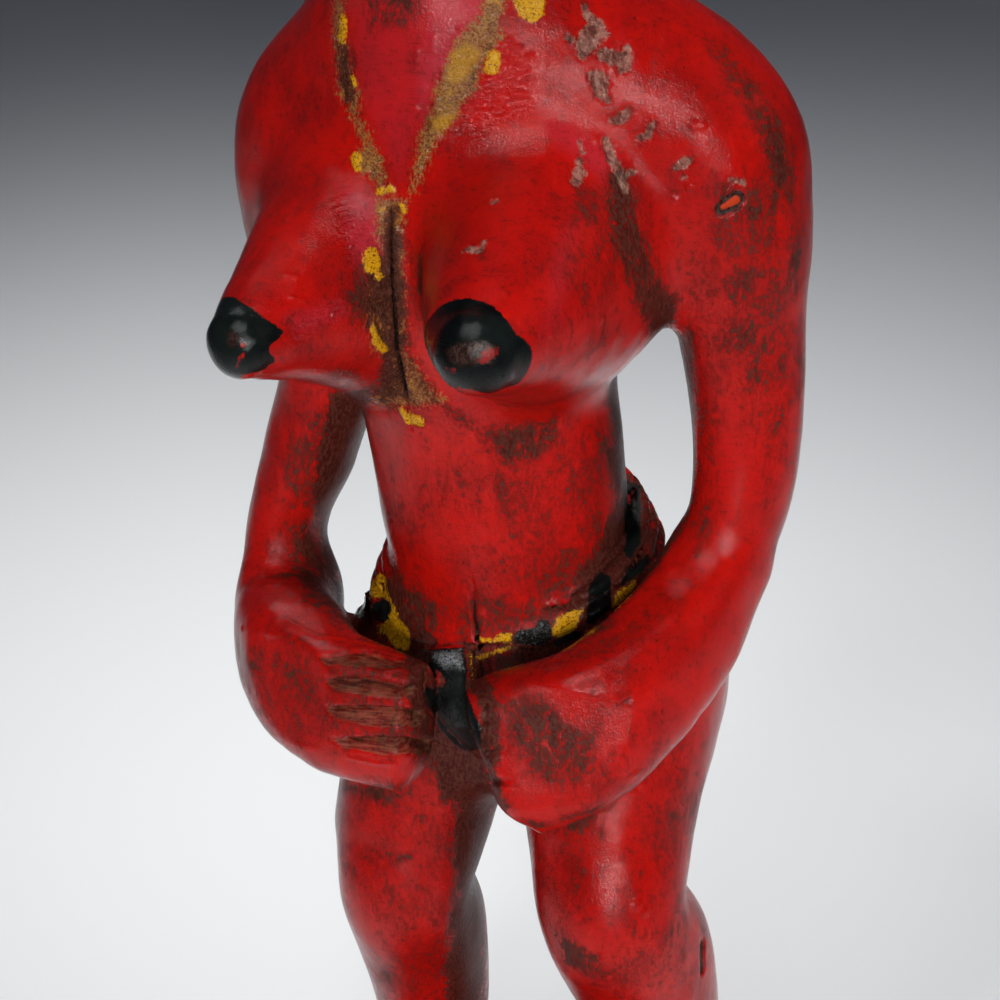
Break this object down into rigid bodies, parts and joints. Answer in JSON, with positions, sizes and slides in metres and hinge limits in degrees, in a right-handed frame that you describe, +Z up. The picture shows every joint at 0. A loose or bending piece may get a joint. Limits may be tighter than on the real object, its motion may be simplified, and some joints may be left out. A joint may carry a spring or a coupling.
{
  "type": "spirit spouse figure",
  "caption": "Standing female spirit spouse figure carved from one block of wood with its low round base, hands held low at the front, painted glossy red.",
  "frame": {"origin": "middle of the underside of the base", "axes": "+Z up, -Y the way the figure faces, +X toward the figure's own left hand"},
  "size_m": [0.1217, 0.1114, 0.3988],
  "materials": {
    "painted_wood": "glossy enamel paint, worn"
  },
  "bodies": {
    "root": {"carved_figure": "painted_wood"}
  },
  "joints": []
}
